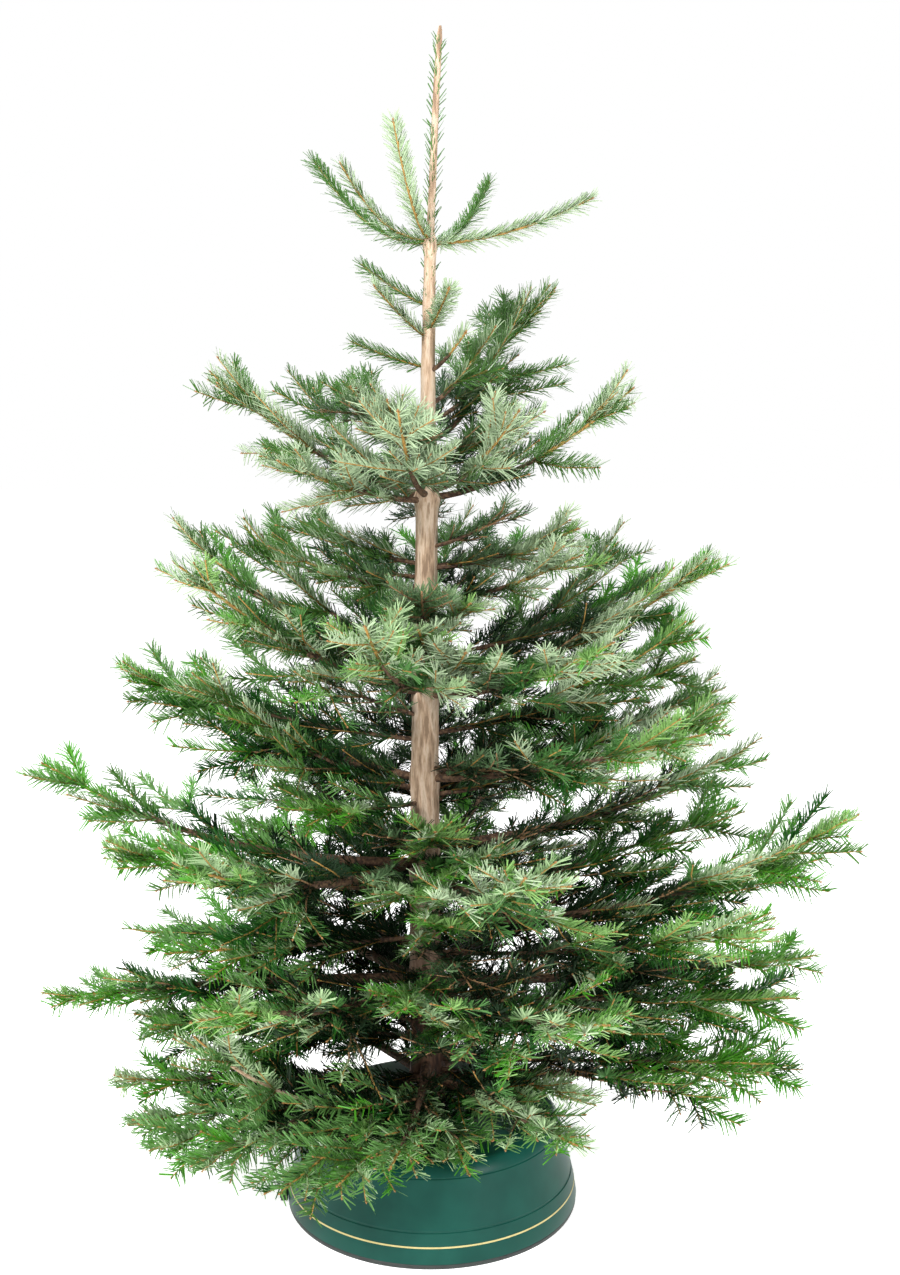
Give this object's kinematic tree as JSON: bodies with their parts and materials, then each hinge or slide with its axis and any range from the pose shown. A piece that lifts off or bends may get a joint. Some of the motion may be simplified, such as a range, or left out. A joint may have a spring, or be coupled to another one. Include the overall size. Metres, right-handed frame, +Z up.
{
  "type": "christmas tree",
  "caption": "Cut, undecorated fir for Christmas, with whorled boughs of foliage on a bare upright trunk, clamped in a round hollow plastic stand.",
  "frame": {"origin": "centre of the flat underside of the stand, on the floor", "axes": "+Z up along the trunk, -Y towards the front, +X to the right of someone who looks at the front"},
  "size_m": [1.1641, 1.0196, 1.65],
  "materials": {
    "bark": "rough",
    "bough_bark": "rough",
    "needles_upper": "waxy",
    "needles_lower": "waxy",
    "stand_green": "satin",
    "stand_dark": "matte",
    "stand_gold": "satin"
  },
  "bodies": {
    "root": {"bough_7_1": "bough_bark", "bough_7_2": "bough_bark", "bough_7_3": "bough_bark", "bough_8_1": "bough_bark", "bough_8_2": "bough_bark", "foliage_1_1": "needles_upper", "foliage_1_2": "needles_upper", "foliage_1_3": "needles_upper", "foliage_1_4": "needles_upper", "foliage_1_5": "needles_upper", "foliage_2_1": "needles_upper", "foliage_2_2": "needles_upper", "foliage_2_3": "needles_upper", "foliage_2_4": "needles_upper", "foliage_3_1": "needles_upper", "foliage_3_2": "needles_upper", "foliage_3_3": "needles_upper", "foliage_3_4": "needles_upper", "foliage_3_5": "needles_upper", "foliage_3_6": "needles_upper", "foliage_3_7": "needles_upper", "foliage_4_1": "needles_upper", "foliage_4_2": "needles_upper", "foliage_4_3": "needles_upper", "foliage_5_1": "needles_upper", "foliage_5_2": "needles_upper", "foliage_5_3": "needles_upper", "foliage_5_4": "needles_upper", "foliage_5_5": "needles_upper", "foliage_5_6": "needles_upper", "foliage_5_7": "needles_upper", "foliage_6_1": "needles_lower", "foliage_6_2": "needles_lower", "foliage_6_3": "needles_lower", "foliage_6_4": "needles_lower", "foliage_7_1": "needles_lower", "foliage_7_2": "needles_lower", "foliage_7_3": "needles_lower", "foliage_7_4": "needles_lower", "foliage_7_5": "needles_lower", "foliage_7_6": "needles_lower", "foliage_7_7": "needles_lower", "foliage_8_1": "needles_lower", "foliage_8_2": "needles_lower", "foliage_8_3": "needles_lower", "foliage_8_4": "needles_lower", "foliage_8_5": "needles_lower", "foliage_8_6": "needles_lower", "foliage_9_1": "needles_lower", "foliage_9_2": "needles_lower", "foliage_9_3": "needles_lower", "foliage_9_4": "needles_lower", "foliage_9_5": "needles_lower", "foliage_9_6": "needles_lower", "foliage_9_7": "needles_lower", "stand_base": "stand_dark", "stand_clamp": "stand_dark", "stand_pedal": "stand_dark", "stand_shell": "stand_green", "trunk": "bark"}
  },
  "joints": []
}
